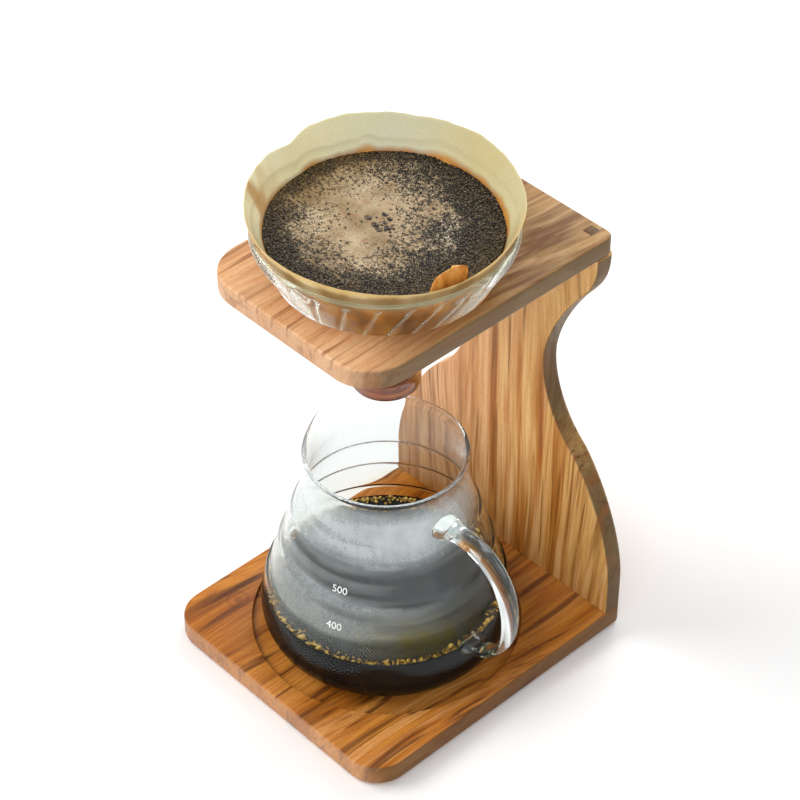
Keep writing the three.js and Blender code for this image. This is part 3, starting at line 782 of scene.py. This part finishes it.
def make_dripper():
    """The glass cone with 24 spiral ribs on its inner face, a rolled rim and a thick neck."""
    count = 384
    lines_per_rib = count // 24
    rib_height = 1.2
    short_rib_start = 30.0            # every second rib starts this far out
    rim = DRIPPER_HIGH[2]
    foot = DRIPPER_LOW[2]
    rim_radius = (DRIPPER_HIGH[0] - DRIPPER_LOW[0]) / 2
    neck = 16.0
    outlet = 9.2
    lip_foot = 243.4
    rib_turn = 0.674
    neck_top = BOARD_TOP_Z + (neck - CONE_AT_BOARD) / CONE_SLOPE
    outside = rounded([(outlet, foot + 0.8), (outlet + 1, foot), (neck - 1.6, foot), (neck, foot + 1.6),
                       (neck, foot + 5), (neck + 0.05, neck_top - 2), (neck + 1.8, neck_top + 3),
                       (cone_outer(200), 200), (cone_outer(lip_foot - 3), lip_foot - 3),
                       (cone_outer(lip_foot - 0.6), lip_foot - 0.6), (rim_radius, lip_foot + 1.2),
                       (rim_radius, rim - 0.9), (rim_radius - 0.9, rim), (rim_radius - 2.0, rim),
                       (rim_radius - 2.6, rim - 0.9), (cone_inner(lip_foot) + 0.2, lip_foot + 0.8)])
    rings = [circle(radius, height, count) for radius, height in outside]
    top_radius = cone_inner(243.0)
    lines = np.arange(count)
    to_rib = (lines + lines_per_rib / 2) % lines_per_rib - lines_per_rib / 2
    is_long = ((lines + lines_per_rib // 2) // lines_per_rib) % 2 == 0
    low_height = foot + 5.0
    for step in range(61):
        height = lip_foot + (low_height - lip_foot) * step / 60
        radius = max(cone_inner(height), outlet)
        starts = np.where(is_long, outlet + 1.0, short_rib_start)
        inside = np.clip((radius - starts) / 2.0, 0, 1) * np.clip((top_radius - radius) / 0.8, 0, 1)
        ridge = rib_height * inside * np.exp(-(to_rib / 1.5) ** 2)
        turn = rib_turn * math.log(radius / top_radius)
        rings.append(circle(radius - ridge, height, count, turn))
    vertices, faces = loft(rings, loop=True)
    # The clear glass whitens towards grazing angles: a painted pale sheen along its edges.
    clear = glass("dripper_clear_glass", paint(246, 250, 243), bend=1.03, coat=0.4,
                  mist_and_sheen=lambda shade: shade.spread(shade.edge_on(), 0.70, 1.0, 0.0, 0.7))
    # Rib crests get a whitish, slightly misted glass: a painted highlight along the ribs.
    crest_highlight = glass("dripper_rib_highlight", paint(240, 246, 226), bend=1.03, mist_and_sheen=0.2, coat=0.5)
    amber = glass("dripper_amber_neck", paint(150, 80, 14), bend=1.4, mist_and_sheen=0.2, coat=0.8)
    # The rolled rim's glass is pale green, the thick glass's own tint, and its misting whitens it as a
    # painted sheen.
    rolled = glass("dripper_rim_glass", paint(214, 228, 200), bend=1.06, mist_and_sheen=0.18, coat=0.9)
    finish_list = [clear, crest_highlight, amber, rolled]
    on_crest = np.abs(to_rib + 0.5) < 1.1
    finishes = []
    for face in faces:
        height = vertices[face[0]][2]
        ring, line = divmod(face[0], count)
        if height < neck_top + 4:
            finish = amber
        elif height > rim - 1.3:
            finish = rolled
        elif ring >= len(outside) and on_crest[line] and height > neck_top + 20:
            finish = crest_highlight
        else:
            finish = clear
        finishes.append(finish_list.index(finish))
    piece = finish_mesh("dripper_ribbed_glass", vertices, faces, finish_list, finishes, 60)
    place(piece, "dripper", "dripper_glass", "glass_dripper")


def make_neck_film():
    """Coffee running down the inside of the neck and hanging at the outlet."""
    count = 72
    foot = DRIPPER_LOW[2]
    angles = np.arange(count) * TAU / count
    ripple = 0.25 * np.sin(3 * angles) + 0.2 * np.sin(7 * angles + 1.0)
    rings = []
    top = foot + 34.0
    film = [
        (0.6, foot + 0.2), (4.0, foot + 0.3), (7.9, foot + 0.7), (8.9, foot + 2.4), (9.0, foot + 9.0),
        (cone_inner(foot + 20) - 0.1, foot + 20), (cone_inner(top) - 0.1, top),
        (cone_inner(top) - 0.7, top), (cone_inner(foot + 20) - 0.9, foot + 20),
        (7.8, foot + 9.0), (7.2, foot + 3.0), (3.6, foot + 1.6), (0.6, foot + 1.4),
    ]
    for radius, height in film:
        rings.append(circle(radius + ripple * (radius > 5) * 0.4, height, count))
    piece = lofted("neck_coffee_film", rings, amber_material(), loop=True, sharp_angle=80)
    place(piece, "dripper", "brewed_coffee")


SEAM_ANGLE = math.radians(-178)
FOAM_X = -9.2                     # the foam's middle, from the brewing axis
FOAM_Y = 3.1
FOAM_REACH = 38.5
BED_LEAN = 3.2                    # how much higher the bed stands at its back left edge
BED_LEAN_ANGLE = math.radians(142)
BED_RADIUS = 52.0


def paper_reach(angles, height):
    """How far the paper stands off its plain cone at each angle: it stands up steeper past the glass."""
    bend_height = 240.0
    share = np.clip((height - bend_height) / (PAPER_HIGH[2] - bend_height), 0, 1.2) ** 1.4
    waves = 0.35 * np.sin(3 * angles + 0.6) + 0.2 * np.sin(7 * angles + 2.1) + 0.08 * np.sin(17 * angles)
    dent = -1.6 * bump_at(angle_between(angles, SEAM_ANGLE), 0.0, 0.13)
    shoulder = 0.5 * bump_at(angle_between(angles, SEAM_ANGLE), -0.3, 0.16)
    return share * (waves + dent + shoulder - 2.0)


def rim_height(angles):
    """The rim stands highest at the back left, dips at the front right, and is uneven."""
    tilt = 3.2 * np.cos(angles - math.radians(135))
    dip = 3.0 * bump_at(angle_between(angles, math.radians(-20)), 0.0, 0.5)
    scallops = 0.3 * np.sin(5 * angles + 0.4) + 0.14 * np.sin(19 * angles + 1.3) + 0.08 * np.sin(43 * angles)
    dent = 0.8 * bump_at(angle_between(angles, SEAM_ANGLE), 0.05, 0.12)
    return PAPER_HIGH[2] + 0.2 + tilt - dip + scallops - dent


def make_paper():
    """The cone filter: two thin faces, a wavy rim, and the crimped seam's dent at the left."""
    count = 360
    thickness = 0.45
    rows = 64
    angles = np.arange(count) * TAU / count
    rim = rim_height(angles)
    tip = PAPER_LOW[2]
    outside = []
    inside = []
    for row in range(rows + 1):
        share = (row / rows) ** 0.6
        heights = tip + (rim - tip) * share
        reach = paper_reach(angles, heights)
        outer = paper_outer(heights) + reach
        outside.append(circle(np.maximum(outer, 0.6), heights, count))
        inside.append(circle(np.maximum(outer - thickness, 0.3), heights + (0.5 if row == 0 else 0.0), count))
    middle = circle(paper_outer(rim) + paper_reach(angles, rim) - thickness / 2, rim + 0.15, count)
    rings = outside + [middle] + inside[::-1]
    piece = lofted("filter_paper_cone", rings, paper_material(), sharp_angle=70)
    place(piece, "filter", "filter_paper", "paper_filter")


def make_tab():
    """The seam's loose end, soaked and curled in over the bed at the front right."""
    across = 22
    along = 20
    sheet = []
    for side in (0.25, -0.25):
        for v in range(along + 1):
            t = math.sin(0.5 * math.pi * v / along)
            half_width = (8.2 + 1.6 * t) * math.sqrt(max(1 - t ** 10, 0.0)) + 0.15
            for u in range(across + 1):
                s = 2 * u / across - 1
                angle = math.radians(-17.0 + 7.5 * t) + s * half_width / 55.0
                height = 241.5 + 15.4 * t - 1.0 * s * t
                curl = 1.4 * math.sin(2.2 * s + 0.5) * t + 2.0 * max(t - 0.6, 0) ** 2
                radius = paper_outer(min(height, 247.0)) - 1.3 - 2.6 * t ** 1.5 - curl * t + side
                x, y = radius * math.cos(angle), AXIS_Y + radius * math.sin(angle)
                sheet.append((x, y, height + side * 0.5))
    row = across + 1
    face_count = row * (along + 1)
    faces = []
    for v in range(along):
        for u in range(across):
            a = v * row + u
            faces.append((a, a + 1, a + row + 1, a + row))
            faces.append(tuple(face_count + i for i in (a, a + row, a + row + 1, a + 1)))
    border = list(range(row))
    border += [v * row + across for v in range(1, along + 1)]
    border += [along * row + u for u in range(across - 1, -1, -1)]
    border += [v * row for v in range(along - 1, 0, -1)]
    for here, ahead in zip(border, border[1:] + border[:1]):
        faces.append((here, ahead, ahead + face_count, here + face_count))
    piece = finish_mesh("filter_seam_tab", sheet, faces, [tab_material()], sharp_angle=70)
    place(piece, "filter", "filter_paper")


def bed_surface(x, y):
    """Height of the bed's surface over a point, in millimetres."""
    radius = math.hypot(x, y)
    share = radius / BED_RADIUS
    swell = 0.35 * noise.noise(Vector((x * 0.06, y * 0.06, 1.0)))
    grit = noise.noise(Vector((x * 0.9, y * 0.9, 4.0))) * (0.12 + 0.45 * max(share - 0.6, 0) * 2)
    rim_rise = 0.3 * max(share - 0.72, 0) / 0.28
    lean = BED_LEAN * (x * math.cos(BED_LEAN_ANGLE) + y * math.sin(BED_LEAN_ANGLE)) / BED_RADIUS
    return BED_HIGH[2] - 1.4 + swell + grit + rim_rise + lean


def make_bed():
    """The wet grounds: a closed cone whose surface is granular and climbs unevenly at the paper."""
    count = 300
    rows = 90
    angles = np.arange(count) * TAU / count
    rings = []
    low = BED_LOW[2]
    lean = BED_LEAN * np.cos(angles - BED_LEAN_ANGLE)
    coarse = np.array([noise.noise(Vector((math.cos(a) * 2.4, math.sin(a) * 2.4, 2.0))) for a in angles])
    small = np.array([noise.noise(Vector((math.cos(a) * 9, math.sin(a) * 9, 6.0))) for a in angles])
    off_paper = 0.9
    edge_radius = paper_outer(BED_HIGH[2] - 1.1 + lean + 1.6 * coarse + 1.1 * small) - off_paper
    for height in (low, 190.0, 225.0, 234.0):
        rings.append(circle(paper_outer(height) - off_paper, height, count))
    for row in range(rows):
        radii = edge_radius * (1 - row / rows) + 0.2
        heights = np.array([bed_surface(r * math.cos(a), r * math.sin(a)) for r, a in zip(radii, angles)])
        rings.append(circle(radii, heights, count))
    piece = lofted("coffee_bed_crust", rings, bed_material(), sharp_angle=180)
    place(piece, "filter", "coffee_grounds", "coffee_bed")


def blob_mesh(places, sides=(6, 3), flatten=1.0):
    """Many small closed balls as one mesh. Each place is (x, y, z, radius, stretch, turn)."""
    around, rings = sides
    vertices = []
    faces = []
    for x, y, z, radius, stretch, turn in places:
        start = len(vertices)
        vertices.append((x, y, z - radius * flatten))
        for ring in range(1, rings + 1):
            lift = math.pi * ring / (rings + 1)
            for step in range(around):
                angle = TAU * step / around + turn
                across = radius * math.sin(lift)
                vertices.append((x + across * stretch * math.cos(angle), y + across * math.sin(angle),
                                 z - radius * flatten * math.cos(lift)))
        vertices.append((x, y, z + radius * flatten))
        top = len(vertices) - 1
        for step in range(around):
            ahead = (step + 1) % around
            faces.append((start, start + 1 + ahead, start + 1 + step))
            last = start + 1 + (rings - 1) * around
            faces.append((top, last + step, last + ahead))
            for ring in range(rings - 1):
                a = start + 1 + ring * around
                faces.append((a + step, a + ahead, a + around + ahead, a + around + step))
    return vertices, faces


def make_loose_grounds():
    """Coarse grounds lying on the crust, thickest along the paper and at the front and right."""
    draw = random.Random(11)
    places = []
    while len(places) < 3200:
        angle = draw.uniform(0, TAU)
        share = draw.uniform(0.1, 1.0) ** 0.5
        radius = share * 50.4
        x, y = radius * math.cos(angle), radius * math.sin(angle)
        past_foam = math.hypot(x - FOAM_X, y - FOAM_Y) - FOAM_REACH
        if draw.random() > 0.03 + max(0.0, past_foam + 2.0) / 9.0:
            continue
        size = draw.uniform(0.25, 0.7)
        z = bed_surface(x, y) + size * 0.25
        places.append((x, y + AXIS_Y, z, size, draw.uniform(0.7, 1.5), angle * 7))
    vertices, faces = blob_mesh(places, (5, 2), 0.7)
    material = grains_material("loose_grounds", paint(14, 12, 11), paint(104, 88, 66), 1400.0, 0.4)
    piece = finish_mesh("coffee_loose_grounds", vertices, faces, [material], sharp_angle=20)
    place(piece, "filter", "coffee_grounds")


def make_bed_bubbles():
    """Dark bubbles, most of them where the water lands."""
    draw = random.Random(5)
    spots = [(-11.5, 1.0, 1.6), (-8.0, 7.5, 1.2), (-4.5, 7.0, 1.3), (-6.0, 0.0, 1.6), (-2.6, -1.0, 1.3),
             (-1.0, 2.5, 1.5), (-4.3, 4.0, 1.1), (3.5, 8.0, 0.9), (-33.6, -19.9, 1.2), (-31.0, -17.5, 0.9),
             (17.5, -12.9, 1.5)]
    for _ in range(30):
        spots.append((draw.gauss(-5, 5.5), draw.gauss(3, 5.0), draw.uniform(0.3, 0.8)))
    places = []
    for x, y, size in spots:
        places.append((x, y + AXIS_Y, bed_surface(x, y) - size * 0.1, size, 1.25, 0.3))
    vertices, faces = blob_mesh(places, (14, 7), 0.55)
    material = grains_material("bubble_skins", paint(34, 28, 26), paint(92, 76, 62), 300.0, 0.08)
    piece = finish_mesh("coffee_bed_bubbles", vertices, faces, [material], sharp_angle=180)
    place(piece, "filter", "coffee_grounds")


# ---------------------------------------------------------------- server

FOOT_Z = SERVER_LOW[2]
MOUTH_Z = SERVER_HIGH[2]
SERVER_WALL = 2.0
SERVER_FACE = [
    (47.0, FOOT_Z), (52.4, FOOT_Z + 1.6), (56.8, FOOT_Z + 5.4), (59.4, FOOT_Z + 11), (60.1, 27.4), (59.3, 35),
    (57.1, 44), (56.4, 45.0), (55.4, 46.0), (53.6, 54), (50.8, 64), (50.1, 65.0), (49.1, 66.0), (47, 75),
    (44.4, 84), (43.7, 85.0), (42.7, 86.0), (40.6, 93), (38.4, 101), (37.5, 108.5), (38, 115),
]


def face_radius(height):
    """The server's outer radius at a height."""
    heights = [point[1] for point in SERVER_FACE]
    radii = [point[0] for point in SERVER_FACE]
    return float(np.interp(height, heights, radii))


def spout_swell(angles, height):
    """How far the pouring lip draws a point of the mouth out, on the side away from the handle."""
    rise = np.clip((height - (MOUTH_Z - 16)) / 16, 0, 1)
    away = np.abs(angle_between(angles, math.pi))
    return 3.5 * np.exp(-2 * (away / 0.42) ** 2) * rise ** 2


def make_server():
    """The blown glass body with three stepped shoulders, and mist inside its upper half."""
    count = 192
    angles = np.arange(count) * TAU / count
    mouth = [(38.7, MOUTH_Z - 0.7), (38.3, MOUTH_Z), (37.1, MOUTH_Z), (36.6, MOUTH_Z - 0.7)]
    outside = rounded(SERVER_FACE + mouth)
    floor = FOOT_Z + SERVER_WALL
    inner_face = [(radius - SERVER_WALL, max(height, floor + 0.6)) for radius, height in SERVER_FACE[1:]]
    inside = rounded(inner_face[::-1] + [(46.0, floor), (30.0, floor)])
    rings = []
    for radius, height in [(12.0, FOOT_Z + 0.4), (30.0, FOOT_Z + 0.15), *outside, *inside, (10.0, floor)]:
        ring = circle(radius, height, count)
        ring[:, 0] -= spout_swell(angles, height)
        rings.append(ring)
    vertices, faces = loft(rings)
    first_inner_face = (len(outside) + 2) * count
    face_materials = [1 if i >= first_inner_face else 0 for i in range(len(faces))]
    clear = glass("server_clear_glass", paint(246, 251, 249), bend=1.12,
                  coat=lambda shade: shade.spread(shade.axis("Z"), 0.046, 0.062, 0.0, 0.4))
    misted = glass("server_misted_glass", paint(230, 238, 240), bend=1.12, mist_and_sheen=server_mist)
    piece = finish_mesh("server_blown_glass", vertices, faces, [clear, misted], face_materials, 60)
    place(piece, "server", "server_glass", "server_glass")


def make_handle():
    """The drawn glass strap, flared where it is fused to the body."""
    middle_y = (HANDLE_LOW[1] + HANDLE_HIGH[1]) / 2
    reach = HANDLE_HIGH[0] - 2.1
    path = [np.array((38.4, 96.5))]
    path += cubic(path[0], (68, 105), (reach, 86), (reach, 66), 60)
    path += cubic(path[-1], (reach, 50), (74, 36.5), (56.5, 35.5), 60)
    path = np.array(path)
    heading = np.gradient(path, axis=0)
    heading /= np.linalg.norm(heading, axis=1)[:, None]
    lengths = np.concatenate([[0], np.cumsum(np.linalg.norm(np.diff(path, axis=0), axis=1))])
    count = 40
    turns = np.arange(count) * TAU / count
    rings = []
    for point, ahead, walked in zip(path, heading, lengths):
        from_end = min(walked, lengths[-1] - walked)
        flare = math.exp(-(from_end / 6.5) ** 2)
        half_width = 5.2 + 2.3 * flare
        half_thick = 2.3 + 2.9 * flare
        normal = np.array((-ahead[1], ahead[0]))
        out = half_thick * np.cos(turns)
        rings.append(np.column_stack([point[0] + normal[0] * out, middle_y + half_width * np.sin(turns),
                                      point[1] + normal[1] * out]))
    material = glass("handle_clear_glass", paint(246, 252, 252), bend=1.47)
    piece = lofted("server_strap_handle", rings, material, sharp_angle=60)
    place(piece, "server", "handle_glass", "server_handle")


def make_coffee():
    """The brewed coffee, with its edge climbing a little at the glass."""
    count = 144
    level = COFFEE_HIGH[2]
    rings = [circle(30.0, FOOT_Z + 2.1, count), circle(46.0, FOOT_Z + 2.15, count)]
    for height in np.linspace(FOOT_Z + 3.0, level - 0.4, 14):
        rings.append(circle(face_radius(height) - SERVER_WALL + 0.2, height, count))
    edge = face_radius(level) - SERVER_WALL
    for inset, drop in ((0.0, 0.0), (0.6, 0.45), (1.6, 0.75), (3.5, 0.9), (25.0, 0.9), (52.0, 0.9)):
        rings.append(circle(edge - inset, level - drop, count))
    piece = lofted("server_brewed_coffee", rings, coffee_material(), sharp_angle=60)
    place(piece, "server", "brewed_coffee", "brewed_coffee")


def make_froth():
    """Bubbles that crowd along the coffee's edge, with a few strays further in."""
    draw = random.Random(23)
    level = COFFEE_HIGH[2] - 0.9
    edge = face_radius(level) - SERVER_WALL
    places = []
    for _ in range(1300):
        angle = draw.uniform(0, TAU)
        size = min(draw.lognormvariate(-0.75, 0.42), 1.5)
        inset = size + abs(draw.gauss(0, 1.6))
        lift = draw.uniform(-0.1, 0.9) * size if inset < 3 else 0.1
        radius = edge - inset
        x, y = radius * math.cos(angle), AXIS_Y + radius * math.sin(angle)
        places.append((x, y, level + lift, size, 1.0, angle))
    vertices, faces = blob_mesh(places, (10, 5), 0.85)
    piece = finish_mesh("server_froth_ring", vertices, faces, [froth_material()], sharp_angle=180)
    place(piece, "server", "brewed_coffee")


def make_numeral(text, degrees, height, size):
    """A printed graduation figure, wrapped on the server's outer face."""
    curve = bpy.data.curves.new("figure_" + text, "FONT")
    curve.body = text
    curve.size = size
    curve.align_x = "CENTER"
    curve.align_y = "CENTER"
    curve.resolution_u = 6
    curve.extrude = 0.05
    flat = bpy.data.objects.new("figure_" + text, curve)
    bpy.context.scene.collection.objects.link(flat)
    bpy.context.view_layer.update()
    shape = bpy.data.meshes.new_from_object(flat.evaluated_get(bpy.context.evaluated_depsgraph_get()))
    bpy.data.objects.remove(flat)
    points = np.array([vertex.co[:] for vertex in shape.vertices])
    faces = [tuple(polygon.vertices) for polygon in shape.polygons]
    radii = np.array([face_radius(height + y) for y in points[:, 1]]) + 0.12 + points[:, 2]
    angles = math.radians(degrees) + points[:, 0] / radii
    across = AXIS_Y + radii * np.sin(angles)
    wrapped = np.column_stack([radii * np.cos(angles), across, height + points[:, 1]])
    ink = grains_material("printed_white", paint(246, 248, 248), paint(232, 236, 236), 500.0, 0.5)
    piece = finish_mesh("server_figure_" + text, wrapped, faces, [ink], sharp_angle=20)
    place(piece, "server", "server_glass")


# ---------------------------------------------------------------- studio

def make_floor():
    """A plain pale floor."""
    shade = Shade("studio_floor")
    pale = shade.ramp(shade.even_noise(3.0), [
        (0.3, (0.90, 0.90, 0.90, 1)), (0.7, (0.93, 0.93, 0.93, 1))])
    shade.surface_set({"Base Color": pale, "Roughness": 0.9})
    half = 3000.0
    corners = [(-half, -half, 0), (half, -half, 0), (half, half, 0), (-half, half, 0)]
    floor = finish_mesh("studio_floor", corners, [(0, 1, 2, 3)], [shade.material])


def add_light(name, place_at, aim, size, power, colour):
    """A square soft box that faces a point."""
    light = bpy.data.lights.new(name, "AREA")
    light.size = size
    light.energy = power
    light.color = colour
    lamp = bpy.data.objects.new(name, light)
    lamp.location = place_at
    lamp.rotation_euler = (Vector(aim) - Vector(place_at)).to_track_quat("-Z", "Y").to_euler()
    bpy.context.scene.collection.objects.link(lamp)


def light_studio():
    """A large key at the front left, a weak fill at the right and a soft light from behind."""
    aim = (0.0, 0.0, 0.12)
    add_light("key_light", (-1.2, -0.8, 1.5), aim, 1.2, 26.0, (1.0, 0.985, 0.96))
    add_light("fill_light", (1.2, -1.3, 1.0), aim, 1.2, 11.0, (0.96, 0.98, 1.0))
    add_light("back_light", (-0.4, 1.4, 1.3), aim, 1.2, 16.0, (1.0, 1.0, 1.0))
    world = bpy.data.worlds.new("studio")
    world.use_nodes = True
    background = world.node_tree.nodes["Background"]
    background.inputs["Color"].default_value = (1.0, 1.0, 1.0, 1.0)
    background.inputs["Strength"].default_value = 0.58
    bpy.context.scene.world = world


def aim_camera():
    """Looks down at the stand from its front right corner."""
    azimuth = math.radians(46.68)
    elevation = math.radians(41.15)
    distance = 1.15249
    target = Vector((0.0, 0.003, 0.14307))
    back = Vector((math.sin(azimuth) * math.cos(elevation), -math.cos(azimuth) * math.cos(elevation),
                   math.sin(elevation)))
    lens = bpy.data.cameras.new("studio_camera")
    lens.lens = 115.2
    lens.sensor_width = 36.0
    camera = bpy.data.objects.new("studio_camera", lens)
    camera.location = target + back * distance
    camera.rotation_euler = (-back).to_track_quat("-Z", "Y").to_euler()
    bpy.context.scene.collection.objects.link(camera)
    bpy.context.scene.camera = camera


aim_camera()
make_base()
make_upright()
make_top()
make_keys()
dress_dowels()
make_dripper()
make_neck_film()
make_paper()
make_tab()
make_bed()
make_loose_grounds()
make_bed_bubbles()
make_server()
make_handle()
make_coffee()
make_froth()
make_numeral("500", -69.3, 71.3, 5.2)
make_numeral("400", -69.6, 53.4, 5.2)
make_floor()
light_studio()
bpy.context.scene.view_settings.view_transform = "Standard"
